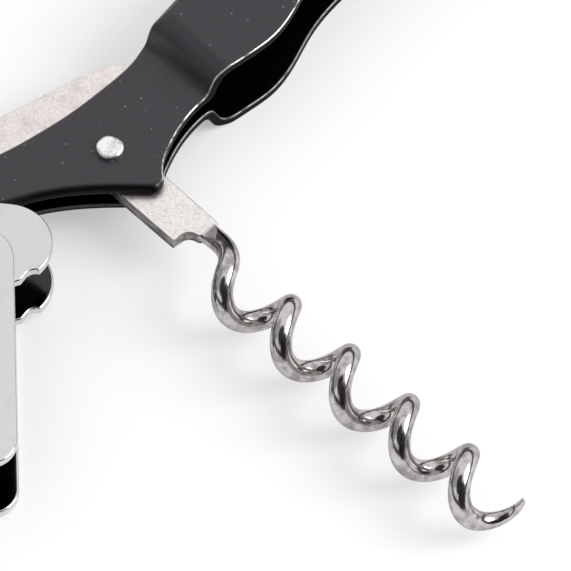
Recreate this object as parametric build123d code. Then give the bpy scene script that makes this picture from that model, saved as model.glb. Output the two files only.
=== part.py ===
from build123d import *
from math import cos, radians, sin, sqrt, tau
import os

# Waiter's corkscrew lying on its side, in millimetres.
# X runs along the grip, the open worm points along -Y, Z is square to the handle walls.
# The sizes are laid out from the worm pivot, with the back of the grip on Z = 0.
# The pieces are saved from the centre of the grip's back face, by the rest sizes.

# Fits shared by all the pieces
pin_clearance = 0.04
side_clearance = 0.15
cut_overrun = 3.0
rest_reach = 48.0
rest_rise = 6.0

# Handle: folded sheet channel with a narrow neck
sheet = 1.2
grip_width = 12.0
neck_gap = 2.2
grip_reach = 78.0
spine_rise = 11.6
heel_drop = 9.0
heel_radius = 1.5
fold_radius = 2.0
fold_round_start = 18.2
fold_trace = 0.001
ramp_start = 13.9
ramp_knee_run = 1.3
ramp_run = 3.3
ramp_crease_radius = 0.9
ramp_bend_radius = 2.4
ramp_knee_share = 0.78
fold_start = 14.0
fold_level = 3.6
neck_body_radius = 4.6

# Outline shares: along the grip reach, then along the spine rise or the heel drop
spine_shares = (
    (0.962, 0.660),
    (0.900, 0.880),
    (0.770, 0.985),
    (0.580, 1.000),
    (0.360, 0.915),
    (0.192, 0.745),
    (0.128, 0.666),
    (0.069, 0.650),
    (0.009, 0.656),
    (-0.051, 0.697),
    (-0.140, 0.812),
    (-0.205, 0.980),
)
grip_end_share = (1.000, 0.270)
neck_body_share = 0.5
end_inset_shares = (0, 0.5, 1)
fold_inset_shares = (0, 0.1, 0.2, 0.35, 0.5, 0.65, 0.75)
open_edge_shares = (
    (0.955, -0.270),
    (0.870, -0.175),
    (0.730, 0.070),
    (0.565, 0.130),
    (0.430, -0.045),
    (0.365, -0.265),
    (0.305, -0.385),
    (0.260, -0.370),
    (0.220, -0.333),
    (0.187, -0.283),
    (0.152, -0.293),
    (0.110, -0.374),
    (0.073, -0.500),
    (0.041, -0.664),
    (0.0115, -1.000),
)
under_neck_shares = (
    (0.0115, -1.000),
    (-0.035, -0.590),
    (-0.135, 0.090),
    (-0.205, 0.370),
)

# Worm: flattened tang and round-wire helix
wire_diameter = 2.65
helix_radius = 2.85
helix_pitch = 10.04
helix_quarters = 19
points_per_turn = 24
helix_start = 20.2
helix_offset = 2.25
helix_lean = 0.06
lead_start = 16.4
lead_side = 1.1
tip_turns = 0.30
tip_rise = 0.9
tip_radius = 0.38
tang_thickness = 1.7
tang_radius = 2.8
tang_length = 14.1
tang_side_offset = 2.9
tang_fillet = 1.5
tang_foot = 17.0
lead_inset = 1.6

# Rivets
worm_rivet_diameter = 2.4
worm_rivet_head = 3.4
rivet_head_height = 0.75
rivet_head_rounding = 0.4
lever_rivet_diameter = 3.0
lever_rivet_head = 4.8
knife_rivet_diameter = 2.4
knife_rivet_head = 4.0

# Lever pivot on the handle and the two lever links
lever_pivot_reach = 26.0
lever_pivot_rise = 6.5
lever_ear_radius = 5.0
lever_sheet = 1.2
lever_washer_diameter = 7.0
upper_angle = 290.0
hook_reach = 10.5
hook_offset = 3.0
hook_radius = 5.8
step_notch_radius = 1.5
step_notch_offset = 2.6
link_pivot_reach = 8.5
link_pivot_offset = -1.5
link_ear_radius = 4.2
upper_web_start = 6.2
upper_web_end = 13.0
lower_angle = 225.0
lower_ear_radius = 5.0
lower_reach = 26.0
lower_toe_radius = 3.6
lower_toe_offset = 2.6
lower_heel_radius = 4.0
lower_notch_radius = 1.7
lower_web_start = 7.0
lower_web_end = 24.0

# Knife
knife_pivot_reach = 20.5
knife_pivot_rise = 11.5
knife_ear_radius = 4.5
blade_thickness = 1.2
blade_reach = 32.5
blade_width = 8.0
blade_heel_radius = 4.0
knife_washer_diameter = 5.6
knife_washer_thickness = 0.4
blade_back_shares = (
    (0.000, 0.500),
    (0.330, 0.360),
    (0.640, 0.125),
    (0.790, 0.000),
    (0.885, -0.115),
    (0.950, -0.265),
    (1.000, -0.560),
)
blade_edge_shares = (
    (1.000, -0.560),
    (0.870, -0.750),
    (0.620, -0.820),
    (0.320, -0.725),
    (0.110, -0.470),
)

# Places and heights worked out from the sizes above
mid = grip_width / 2
neck_half = neck_gap / 2 + sheet
grip_half = grip_width / 2
wire_radius = wire_diameter / 2
tip_start = helix_quarters / 4
worm_pivot = (0, 0)
lever_pivot = (-lever_pivot_reach, lever_pivot_rise)
knife_pivot = (-knife_pivot_reach, knife_pivot_rise)
lower_half = grip_width / 2
upper_half = lower_half - lever_sheet - side_clearance


def in_sizes(shares, reach, rise):
    """Points of an outline from shares of a reach along X and a rise along Y."""
    return [(along * reach, across * rise) for along, across in shares]


def disc(radius, centre):
    """Round face at a point of the side view."""
    return Pos(*centre) * Circle(radius)


def hull_of(discs):
    """Face inside the tight band round several discs."""
    edges = ShapeList()
    for one in discs:
        edges.extend(one.edges())
    return make_hull(edges)


def slab(face, low, high):
    """Solid of a side-view face between two heights."""
    return Pos(0, 0, low) * extrude(face, amount=high - low)


def pin_hole(centre, diameter):
    """Cutter for a running fit on a pin, through everything."""
    bore = Circle(diameter / 2 + pin_clearance)
    return slab(Pos(*centre) * bore, -cut_overrun, grip_width + cut_overrun)


def rivet(centre, diameter, head, seat_half):
    """Shank between two rounded heads that seat on faces either side of the middle."""
    shank = slab(disc(diameter / 2, centre), mid - seat_half, mid + seat_half)
    top = extrude(Circle(head / 2), amount=rivet_head_height)
    top = fillet(top.faces().sort_by(Axis.Z)[-1].edges(), rivet_head_rounding)
    upper_head = Pos(centre[0], centre[1], mid + seat_half) * top
    lower_head = mirror(upper_head, Plane.XY.offset(mid))
    return shank + upper_head + lower_head


def washer(centre, outer, bore, low, high):
    """Flat ring between two heights."""
    ring = Circle(outer / 2) - Circle(bore / 2 + pin_clearance)
    return slab(Pos(*centre) * ring, low, high)


def handle_edges():
    """Edges of the handle's side view, round the outline from the grip's end."""
    spine = in_sizes(spine_shares, grip_reach, spine_rise)
    skirt = in_sizes(open_edge_shares, grip_reach, heel_drop)
    under = in_sizes(under_neck_shares, grip_reach, heel_drop)
    end_point = (grip_end_share[0] * grip_reach, grip_end_share[1] * spine_rise)
    return {
        "end": ThreePointArc(skirt[0], end_point, spine[0]),
        "spine": Spline(*spine),
        "neck_end": Line(spine[-1], under[-1]),
        "under": Spline(*under),
        "skirt": Spline(*skirt),
    }


def handle_outline():
    """Side view of the handle, with the ears for the knife and the lever."""
    edges = handle_edges()
    body = make_face(list(edges.values()))
    heel = body.vertices().sort_by(Axis.Y)[0]
    body = fillet(heel, heel_radius)
    ears = hull_of(
        [
            disc(lever_ear_radius, lever_pivot),
            disc(knife_ear_radius, knife_pivot),
            disc(neck_body_radius, edges["neck_end"] @ neck_body_share),
        ]
    )
    return body + ears


def inset(edge, share):
    """Point one sheet inside an edge of the outline."""
    way = edge % share
    return edge @ share + Vector(-way.Y, way.X) * sheet


def cavity_outline():
    """Side view of the space between the walls, closed only by the fold of the grip."""
    edges = handle_edges()
    end = ThreePointArc(*[inset(edges["end"], share) for share in end_inset_shares])
    fold = Spline(*[inset(edges["spine"], share) for share in fold_inset_shares])
    floor = Vector(0, -grip_reach)
    corners = [fold @ 1, Vector((fold @ 1).X, floor.Y), Vector((end @ 0).X, floor.Y), end @ 0]
    under_fold = make_face([end, Line(end @ 1, fold @ 0), fold, Polyline(*corners)])
    beside_neck = Pos(fold_start - grip_reach, 0) * Rectangle(2 * grip_reach, 2 * grip_reach)
    below_fold = Pos(0, fold_level - grip_reach) * Rectangle(4 * grip_reach, 2 * grip_reach)
    return under_fold + beside_neck + below_fold


def ramp_line(near, far, set_in):
    """Half thickness of the handle along X, set in square to its outer face."""
    knee = neck_half + (grip_half - neck_half) * ramp_knee_share
    outer = [
        Vector(near, neck_half),
        Vector(ramp_start, neck_half),
        Vector(ramp_start + ramp_knee_run, knee),
        Vector(ramp_start + ramp_run, grip_half),
        Vector(far, grip_half),
    ]
    ways = [(there - here).normalized() for here, there in zip(outer, outer[1:])]
    line = [(near, neck_half - set_in)]
    for corner, before, after in zip(outer[1:], ways, ways[1:]):
        middle = (before + after).normalized()
        moved = corner + Vector(middle.Y, -middle.X) * (set_in / middle.dot(before))
        line.append((moved.X, moved.Y))
    return line + [(far, grip_half - set_in)]


def channel_profile(set_in):
    """Solid of the handle's thickness along X, set in from both outer faces."""
    far = grip_reach + cut_overrun
    near = -grip_reach
    half = ramp_line(near, far, set_in)
    upper = [(along, mid + height) for along, height in half]
    lower = [(along, mid - height) for along, height in reversed(half)]
    face = make_face(Polyline(*upper, *lower, close=True))
    bends = face.vertices().filter_by(lambda v: near < v.X < far).sort_by(Axis.X)
    face = fillet(bends[2:], ramp_bend_radius)
    crease = face.vertices().filter_by(lambda v: near < v.X).sort_by(Axis.X)[:2]
    face = fillet(crease, ramp_crease_radius)
    return extrude(Plane.XZ * face, amount=grip_reach, both=True)


def fold_edges(shell):
    """Edges along the spine and the end of the grip, either side of the fold."""
    edges = handle_edges()
    fold = []
    for edge in shell.edges():
        middle = edge @ 0.5
        trace = Vertex(middle.X, middle.Y, 0)
        off_fold = min(edges[name].distance_to(trace) for name in ("spine", "end"))
        level = abs((edge % 0.5).Z) < 0.9
        if off_fold < fold_trace and level and middle.Y > fold_level:
            fold.append(edge)
    return fold


def handle_channel():
    """Sheet-steel handle: folded along the spine of the grip, open along the neck."""
    shell = slab(handle_outline(), 0, grip_width) & channel_profile(0)
    beside_grip = Pos(fold_round_start - grip_reach, 0) * Rectangle(2 * grip_reach, 2 * grip_reach)
    ramp_zone = slab(beside_grip, -cut_overrun, grip_width + cut_overrun)
    grip = shell - ramp_zone
    shell = (shell & ramp_zone) + fillet(fold_edges(grip), fold_radius)
    hollow = slab(cavity_outline(), -cut_overrun, grip_width + cut_overrun) & channel_profile(sheet)
    shell = shell - hollow
    for centre, diameter in (
        (worm_pivot, worm_rivet_diameter),
        (lever_pivot, lever_rivet_diameter),
        (knife_pivot, knife_rivet_diameter),
    ):
        shell = shell - pin_hole(centre, diameter)
    return shell


def helix_point(turn):
    """Centre line of the worm after a number of turns, and its direction."""
    angle = tau * turn
    share = max(0, turn - tip_start) / tip_turns
    point = Vector(
        -helix_offset + helix_lean * turn + helix_radius * cos(angle),
        -helix_start - helix_pitch * turn + tip_rise * share**2,
        mid + helix_radius * sin(angle),
    )
    rise = 2 * tip_rise * share / tip_turns
    direction = Vector(
        helix_lean / tau - helix_radius * sin(angle),
        (rise - helix_pitch) / tau,
        helix_radius * cos(angle),
    )
    return point, direction.normalized()


def biarc(start, start_way, end, end_way):
    """Two arcs that meet smoothly between two points with given directions."""
    span = end - start
    ways = start_way + end_way
    spread = 2 * (1 - start_way.dot(end_way))
    reach = (sqrt(span.dot(ways) ** 2 + spread * span.dot(span)) - span.dot(ways)) / spread
    first = start + start_way * reach
    last = end - end_way * reach
    joint = (first + last) * 0.5
    joint_way = (last - first).normalized()
    return [
        TangentArc(start, joint, tangent=start_way),
        TangentArc(joint, end, tangent=joint_way),
    ]


def smooth_path(stations):
    """Wire of biarcs through points with their directions."""
    path = []
    for here, there in zip(stations, stations[1:]):
        path.extend(biarc(here[0], here[1], there[0], there[1]))
    return Wire(path)


def round_section(turn, radius):
    """Round section of the wire after a number of turns."""
    point, direction = helix_point(turn)
    outward = Vector(cos(tau * turn), 0, sin(tau * turn))
    return Plane(origin=point, x_dir=outward, z_dir=direction) * Circle(radius)


def worm_wire():
    """Round wire from the tang to where the tip starts to taper."""
    lead = Vector(lead_side, -lead_start, mid)
    lead_way = Vector(0, -1, 0)
    stations = [(lead, lead_way)] + [helix_point(step / 4) for step in range(1, helix_quarters + 1)]
    section = Plane(origin=lead, z_dir=lead_way) * Circle(wire_radius)
    return sweep(section, path=smooth_path(stations))


def worm_tip():
    """Tapered point over the last part of a turn, ground from its far side."""
    turns = [tip_start, tip_start + tip_turns / 2, tip_start + tip_turns]
    stations = [helix_point(turn) for turn in turns]
    sections = [round_section(turns[0], wire_radius), round_section(turns[-1], tip_radius)]
    return sweep(sections, path=smooth_path(stations), multisection=True)


def worm_tang():
    """Flattened end of the wire with its eye, and a fillet into the wire."""
    wire_left = lead_side - wire_radius
    wire_right = lead_side + wire_radius
    corner = (-tang_side_offset, -tang_length)
    bend_start = (wire_left - tang_fillet, -tang_length)
    bend_end = (wire_left, -tang_length - tang_fillet)
    edges = [
        Line((-tang_radius, 0), corner),
        Line(corner, bend_start),
        JernArc(bend_start, (1, 0), tang_fillet, -90),
        Line(bend_end, (wire_left, -tang_foot)),
        Line((wire_left, -tang_foot), (wire_right, -tang_foot)),
        Line((wire_right, -tang_foot), (tang_radius, 0)),
        Line((tang_radius, 0), (-tang_radius, 0)),
    ]
    flat = make_face(edges) + Circle(tang_radius)
    plate = slab(flat, mid - tang_thickness / 2, mid + tang_thickness / 2)
    root = Pos(lead_side, -lead_start, mid) * Rot(-90, 0, 0) * Cone(
        wire_radius, tang_thickness / 2, lead_inset, align=(Align.CENTER, Align.CENTER, Align.MIN)
    )
    return plate + root


def least_turn_gap():
    """Least gap of the wire to itself, half a turn or more along its centre line."""
    count = round((tip_start + tip_turns) * points_per_turn)
    points = [helix_point(step / points_per_turn)[0] for step in range(count + 1)]
    spans = []
    for step, point in enumerate(points):
        spans.extend((point - other).length for other in points[step + points_per_turn // 2 :])
    return min(spans) - wire_diameter


def worm():
    """Worm with its tang, open, with the eye bored for its rivet."""
    print("least gap of the worm's wire to itself, mm:", round(least_turn_gap(), 2))
    return worm_tang() + worm_wire() + worm_tip() - pin_hole(worm_pivot, worm_rivet_diameter)


def placed(shape, pivot, angle):
    """Lever piece turned about its pivot from its own frame to the rest pose."""
    return Pos(*pivot) * Rot(0, 0, angle) * shape


def link_pivot():
    """Place of the pin between the two lever links, at rest."""
    turn = radians(upper_angle)
    along = link_pivot_reach
    across = link_pivot_offset
    x = lever_pivot[0] + along * cos(turn) - across * sin(turn)
    y = lever_pivot[1] + along * sin(turn) + across * cos(turn)
    return (x, y)


def folded_link(outline, half, web_start, web_end):
    """Two side plates joined by a web along the outer edge of the outline."""
    block = slab(outline, mid - half, mid + half)
    hollow = slab(outline, mid - half + lever_sheet, mid + half - lever_sheet)
    rim = outline - offset(outline, -lever_sheet)
    web_zone = Pos((web_start + web_end) / 2, -lower_ear_radius) * Rectangle(
        web_end - web_start, 2 * (lower_ear_radius - lever_sheet)
    )
    web = slab(rim & web_zone, mid - half, mid + half)
    return block - (hollow - web)


def lever_upper_link():
    """First step of the lever: plates with a rounded hook and a lip notch."""
    outline = hull_of(
        [
            Circle(lever_ear_radius),
            disc(hook_radius, (hook_reach, hook_offset)),
            disc(link_ear_radius, (link_pivot_reach, link_pivot_offset)),
        ]
    )
    notch = disc(step_notch_radius, (hook_reach + hook_radius, hook_offset - hook_radius + step_notch_offset))
    link = folded_link(outline - notch, upper_half, upper_web_start, upper_web_end)
    link = placed(link, lever_pivot, upper_angle)
    link = link - pin_hole(lever_pivot, lever_rivet_diameter)
    return link - pin_hole(link_pivot(), lever_rivet_diameter)


def lever_lower_link():
    """Second step of the lever: a longer channel with a notched foot."""
    toe = (lower_reach, lower_toe_offset)
    outline = hull_of(
        [
            Circle(lower_ear_radius),
            disc(lower_heel_radius, (lower_reach - lower_heel_radius, 0)),
            disc(lower_toe_radius, toe),
        ]
    )
    notch = disc(lower_notch_radius, (lower_reach + lower_toe_radius, lower_toe_offset - lower_toe_radius / 2))
    link = folded_link(outline - notch, lower_half, lower_web_start, lower_web_end)
    link = placed(link, link_pivot(), lower_angle)
    return link - pin_hole(link_pivot(), lever_rivet_diameter)


def knife_blade():
    """Foil knife folded into the neck, its back standing out of the slot."""
    back = in_sizes(blade_back_shares, blade_reach, blade_width)
    edge = in_sizes(blade_edge_shares, blade_reach, blade_width)
    sides = [Spline(*back), Spline(*edge), Line(edge[-1], back[0])]
    flat = make_face(sides) + Circle(blade_heel_radius)
    blade = slab(flat, mid - blade_thickness / 2, mid + blade_thickness / 2)
    blade = Pos(*knife_pivot) * blade
    return blade - pin_hole(knife_pivot, knife_rivet_diameter)


def build():
    """All the pieces by name."""
    washer_low = mid - upper_half + lever_sheet + side_clearance
    washer_high = mid + upper_half - lever_sheet - side_clearance
    gap_low = mid - neck_gap / 2
    gap_high = mid + neck_gap / 2
    return {
        "handle_channel": handle_channel(),
        "worm": worm(),
        "worm_rivet": rivet(worm_pivot, worm_rivet_diameter, worm_rivet_head, neck_half),
        "lever_upper_link": lever_upper_link(),
        "lever_lower_link": lever_lower_link(),
        "lever_pivot_rivet": rivet(lever_pivot, lever_rivet_diameter, lever_rivet_head, upper_half),
        "lever_link_pin": slab(disc(lever_rivet_diameter / 2, link_pivot()), 0, grip_width),
        "lever_washer_front": washer(
            lever_pivot, lever_washer_diameter, lever_rivet_diameter, mid + neck_half, washer_high
        ),
        "lever_washer_back": washer(
            lever_pivot, lever_washer_diameter, lever_rivet_diameter, washer_low, mid - neck_half
        ),
        "knife_blade": knife_blade(),
        "knife_rivet": rivet(knife_pivot, knife_rivet_diameter, knife_rivet_head, neck_half),
        "knife_washer_front": washer(
            knife_pivot, knife_washer_diameter, knife_rivet_diameter, gap_high - knife_washer_thickness, gap_high
        ),
        "knife_washer_back": washer(
            knife_pivot, knife_washer_diameter, knife_rivet_diameter, gap_low, gap_low + knife_washer_thickness
        ),
    }


os.makedirs("parts", exist_ok=True)
for name, piece in build().items():
    export_step(Pos(-rest_reach, -rest_rise, 0) * piece, f"parts/{name}.step")
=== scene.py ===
"""Looks of a folding waiter's corkscrew lying open on a white table."""

import logging
from dataclasses import dataclass, field
from enum import Enum
from functools import cached_property
from typing import Union

import bmesh
import bpy
import numpy as np
from mathutils import Matrix, Vector
from numpy.typing import ArrayLike, NDArray


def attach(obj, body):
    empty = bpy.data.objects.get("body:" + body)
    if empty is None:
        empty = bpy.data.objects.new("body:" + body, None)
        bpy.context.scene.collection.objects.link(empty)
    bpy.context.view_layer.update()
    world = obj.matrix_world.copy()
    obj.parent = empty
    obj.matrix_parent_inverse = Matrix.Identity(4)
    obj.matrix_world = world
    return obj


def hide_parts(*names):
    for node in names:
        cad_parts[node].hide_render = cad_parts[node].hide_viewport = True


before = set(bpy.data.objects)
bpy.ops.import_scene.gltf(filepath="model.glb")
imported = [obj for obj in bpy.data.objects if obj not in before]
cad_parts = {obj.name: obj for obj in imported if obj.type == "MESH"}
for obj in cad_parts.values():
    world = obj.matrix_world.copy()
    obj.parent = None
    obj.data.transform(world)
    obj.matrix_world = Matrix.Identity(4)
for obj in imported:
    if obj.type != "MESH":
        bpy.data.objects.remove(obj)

Array = NDArray[np.float64]
Numbers = NDArray[np.int64]
Place = tuple[float, float]
Span = tuple[float, float]
Disc = tuple[float, float, float]
Band = tuple[float, float, int]
Colour = tuple[float, float, float, float]
LOG = logging.getLogger("corkscrew")

MM = 0.001
# The worm pivot, from which the sizes below are laid out, in the part's frame (mm)
PIVOT = np.array([-48.0, -6.0, 6.0])
AIM = Vector((PIVOT * MM).tolist())
# The lever's and the knife's pivots, from the worm's (mm)
LEVER_PIVOT: Place = (-26.0, 6.5)
KNIFE_PIVOT: Place = (-20.5, 11.5)
WHITE = (1.0, 1.0, 1.0, 1.0)
MATT = 0.9
# Points nearer than this are one (m)
MERGE_DISTANCE = 2e-7
# Decimals to which stations are told apart (mm)
STATION_DECIMALS = 6
# Rows round an edge, rows across a face and columns across a fold
EDGE_STEPS = 5
FACE_ROWS = 7
FOLD_COLUMNS = 9
# Places on a disc that rolls along an edge
ROLL_SAMPLES = 81


class Body(Enum):
    """Rigid bodies that the pieces ride on."""

    HANDLE = "handle"
    WORM = "worm"
    LEVER_UPPER = "lever_upper"
    LEVER_LOWER = "lever_lower"
    KNIFE = "knife"


class Slot(Enum):
    """Finishes named in the part's record."""

    COATING = "black_coating"
    WIRE = "nickel_wire"
    RIVET = "bright_rivet"
    LEVER = "lever_chrome"
    WASHER = "washer_steel"
    BLADE = "blade_steel"


# Curves


def circle(turn: Array) -> Array:
    """Points of the unit circle: cosine and sine of each angle."""
    return np.stack([np.cos(turn), np.sin(turn)], axis=1)


def unit(rows: Array) -> Array:
    """Rows divided by their lengths."""
    return rows / np.linalg.norm(rows, axis=1)[:, None]


def chord_lengths(points: Array) -> Array:
    """Distance along a line to each of its points, summed from side to side."""
    return np.concatenate([[0.0], np.cumsum(np.linalg.norm(np.diff(points, axis=0), axis=1))])


def joined(*runs: Array) -> Array:
    """Runs of stations as one, sorted and without doubles."""
    return np.unique(np.round(np.concatenate(runs), STATION_DECIMALS))


def between(start: Array, stop: Array, shares: Array) -> Array:
    """Points on the way from one to another: start + share * (stop - start)."""
    return start + shares[:, None] * (stop - start)


def natural_spline(points: ArrayLike, samples: int) -> Array:
    """Cubic through points with no curvature at its ends, by chord length.

    Each span is the cubic whose second derivatives at its two ends solve the
    usual tridiagonal system, so slope and curvature run on from span to span.

    Args:
        points: Points of the curve, one per row.
        samples: Number of points to return.

    Returns:
        Points evenly spaced in chord length.
    """
    points = np.asarray(points, float)
    chord = chord_lengths(points)
    step = np.diff(chord)
    count = len(points)
    system = np.eye(count)
    right = np.zeros_like(points)
    row = np.arange(1, count - 1)
    system[row, row - 1] = step[:-1]
    system[row, row] = 2 * (step[:-1] + step[1:])
    system[row, row + 1] = step[1:]
    slope = np.diff(points, axis=0) / step[:, None]
    right[1:-1] = 6 * np.diff(slope, axis=0)
    bend = np.linalg.solve(system, right)
    at = np.linspace(0.0, chord[-1], samples)
    span = np.clip(np.searchsorted(chord, at) - 1, 0, count - 2)
    width = step[span][:, None]
    ahead = (chord[span + 1] - at)[:, None]
    behind = (at - chord[span])[:, None]
    return (
        (bend[span] * ahead**3 + bend[span + 1] * behind**3) / (6 * width)
        + (points[span] / width - bend[span] * width / 6) * ahead
        + (points[span + 1] / width - bend[span + 1] * width / 6) * behind
    )


def arc_through(first: ArrayLike, middle: ArrayLike, last: ArrayLike, samples: int) -> Array:
    """Circular arc through three points, by turning angle about its centre.

    Args:
        first: Start of the arc.
        middle: A point on it.
        last: End of the arc.
        samples: Number of points to return.

    Returns:
        Points on the arc, evenly spaced in angle.
    """
    first, middle, last = (np.asarray(p, float) for p in (first, middle, last))
    normals = 2 * np.array([middle - first, last - middle])
    levels = np.array([middle @ middle - first @ first, last @ last - middle @ middle])
    centre = np.linalg.solve(normals, levels)
    angles = np.unwrap([np.arctan2(*(p - centre)[::-1]) for p in (first, middle, last)])
    turn = np.linspace(angles[0], angles[2], samples)
    radius = np.linalg.norm(first - centre)
    return centre + radius * circle(turn)


def disc_hull(discs: ArrayLike, samples: int = 2880) -> Array:
    """Outline of the tight band round several discs.

    The point for each direction is the farthest one on the disc that reaches
    farthest that way: centre + radius * direction.

    Args:
        discs: Rows of centre x, centre y and radius.
        samples: Number of directions.

    Returns:
        Points round the band, anticlockwise from the far right.
    """
    discs = np.asarray(discs, float)
    way = circle(np.linspace(0.0, 2 * np.pi, samples, endpoint=False))
    best = np.argmax(way @ discs[:, :2].T + discs[:, 2], axis=1)
    return discs[best, :2] + discs[best, 2][:, None] * way


def level_at(curve: Array, x: Array, outside: float) -> Array:
    """Height of a curve over each x, and a given value beyond its ends."""
    order = np.argsort(curve[:, 0], kind="stable")
    return np.interp(x, curve[order, 0], curve[order, 1], left=outside, right=outside)


def band_levels(hull: Array, x: Array) -> tuple[Array, Array]:
    """Upper and lower heights of a closed convex outline over each x.

    Args:
        hull: Points round the outline, anticlockwise from the far right.
        x: Places along the outline.

    Returns:
        Upper and lower heights, minus and plus infinity beyond the outline.
    """
    far = int(np.argmin(hull[:, 0]))
    upper = hull[: far + 1]
    lower = np.vstack([hull[far:], hull[:1]])
    return level_at(upper, x, -np.inf), level_at(lower, x, np.inf)


def rolled_floor(x: Array, floor: Array, radius: float) -> Array:
    """Lower edge of a region after a disc has rolled along its inside.

    The disc's centre stays above the highest of floor + sqrt(r^2 - d^2), and the
    new floor is the lowest of that centre line - sqrt(r^2 - d^2).

    Args:
        x: Places along the edge.
        floor: Height of the edge there.
        radius: Radius of the disc.

    Returns:
        Height of the rounded edge.
    """
    reach = np.linspace(-radius, radius, ROLL_SAMPLES)
    drop = np.sqrt(radius**2 - reach**2)
    near = x[:, None] + reach
    centre = np.max(np.interp(near, x, floor) + drop, axis=1)
    return np.min(np.interp(near, x, centre) - drop, axis=1)


def corner_ways(points: Array) -> tuple[Array, Array]:
    """Unit directions of a line's sides before and after each of its corners."""
    side = unit(np.diff(points, axis=0))
    return side[:-1], side[1:]


def set_in_line(points: Array, depth: float) -> Array:
    """Line moved square to itself, to the right of its way.

    A corner moves along its bisector by depth / cos(half the turn).

    Args:
        points: Points of the line, level at both ends.
        depth: Distance to move.

    Returns:
        Points of the moved line.
    """
    before, after = corner_ways(points)
    middle = unit(before + after)
    reach = depth / np.sum(middle * before, axis=1)
    moved = points.copy()
    moved[1:-1] += np.stack([middle[:, 1], -middle[:, 0]], axis=1) * reach[:, None]
    moved[[0, -1], 1] -= depth
    return moved


def rounded_line(points: Array, radii: Array, steps: int = 12) -> Array:
    """Line with an arc at each corner, tangent r tan(turn / 2) from it.

    Args:
        points: Points of the line.
        radii: Radius at each inner point.
        steps: Points on each arc.

    Returns:
        Points of the rounded line.
    """
    before, after = corner_ways(points)
    cross = before[:, 0] * after[:, 1] - before[:, 1] * after[:, 0]
    turn = np.arctan2(cross, np.sum(before * after, axis=1))
    start = points[1:-1] - before * (radii * np.tan(np.abs(turn) / 2))[:, None]
    left = np.stack([-before[:, 1], before[:, 0]], axis=1) * np.sign(turn)[:, None]
    swing = np.linspace(0, 1, steps)[:, None] * np.abs(turn)
    arcs = (
        start
        + (radii * np.sin(swing))[:, :, None] * before
        + (radii * (1 - np.cos(swing)))[:, :, None] * left
    )
    return np.vstack([points[:1], arcs.transpose(1, 0, 2).reshape(-1, 2), points[-1:]])


def smooth(value: Array, low: float, high: float) -> Array:
    """Rises from 0 to 1 between two levels as 3t^2 - 2t^3."""
    share = np.clip((value - low) / (high - low), 0, 1)
    return share**2 * (3 - 2 * share)


def eased_steps(start: float, stop: float, count: int) -> Array:
    """Stations that crowd towards both ends as a cosine does."""
    turn = np.linspace(0.0, np.pi, count)
    return start + (stop - start) * (1 - np.cos(turn)) / 2


# Sheet pieces


@dataclass
class Outline:
    """Side view between an upper and a lower edge that share their ends."""

    upper: Array
    lower: Array
    upper_in: Array = field(init=False)
    lower_in: Array = field(init=False)

    def __post_init__(self) -> None:
        """Works out the inward normals, square to the line between each point's neighbours."""
        count = len(self.upper)
        loop = np.vstack([self.upper, self.lower[-2:0:-1]])
        way = unit(np.roll(loop, -1, axis=0) - np.roll(loop, 1, axis=0))
        inward = np.stack([way[:, 1], -way[:, 0]], axis=1)
        self.upper_in = inward[:count]
        self.lower_in = np.vstack([inward[:1], inward[: count - 2 : -1]])

    @classmethod
    def over(cls, x: Array, top: Array, bottom: Array) -> "Outline":
        """Outline from heights over stations, closed at the middle of its ends.

        Args:
            x: Stations along the piece.
            top: Upper heights there.
            bottom: Lower heights there.

        Returns:
            The outline with both ends drawn to a point.
        """
        top, bottom = top.copy(), bottom.copy()
        ends = [0, -1]
        middle = (top[ends] + bottom[ends]) / 2
        top[ends], bottom[ends] = middle, middle
        return cls(np.stack([x, top], axis=1), np.stack([x, bottom], axis=1))


@dataclass(frozen=True)
class EdgeShape:
    """Section of an edge: insets from the outline against drops from the face."""

    insets: Array
    drops: Array

    @classmethod
    def rounded(cls, radius: float, steps: int = EDGE_STEPS) -> "EdgeShape":
        """Quarter round: inset r(1 - sin a) and drop r(1 - cos a)."""
        turn = np.linspace(0.0, np.pi / 2, steps + 1)
        return cls(radius * (1 - np.sin(turn)), radius * (1 - np.cos(turn)))

    @classmethod
    def ground(cls, width: float, depth: float, steps: int = EDGE_STEPS) -> "EdgeShape":
        """Straight grind from the face down to the cutting edge."""
        share = np.linspace(0.0, 1.0, steps + 1)
        return cls(width * (1 - share), depth * share)


def new_mesh(name: str, points: Array, faces: list[list[int]]) -> bpy.types.Mesh:
    """Mesh of points and faces.

    Args:
        name: Name of the mesh.
        points: Its points, in metres.
        faces: Point numbers of each face.

    Returns:
        The new mesh.
    """
    mesh = bpy.data.meshes.new(name)
    mesh.from_pydata(points.tolist(), [], faces)
    return mesh


def placed(name: str, data: bpy.types.ID) -> bpy.types.Object:
    """Object in the scene.

    Args:
        name: Name of the object.
        data: Its mesh, lamp or camera.

    Returns:
        The new object, linked to the scene.
    """
    made = bpy.data.objects.new(name, data)
    bpy.context.scene.collection.objects.link(made)
    return made


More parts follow.
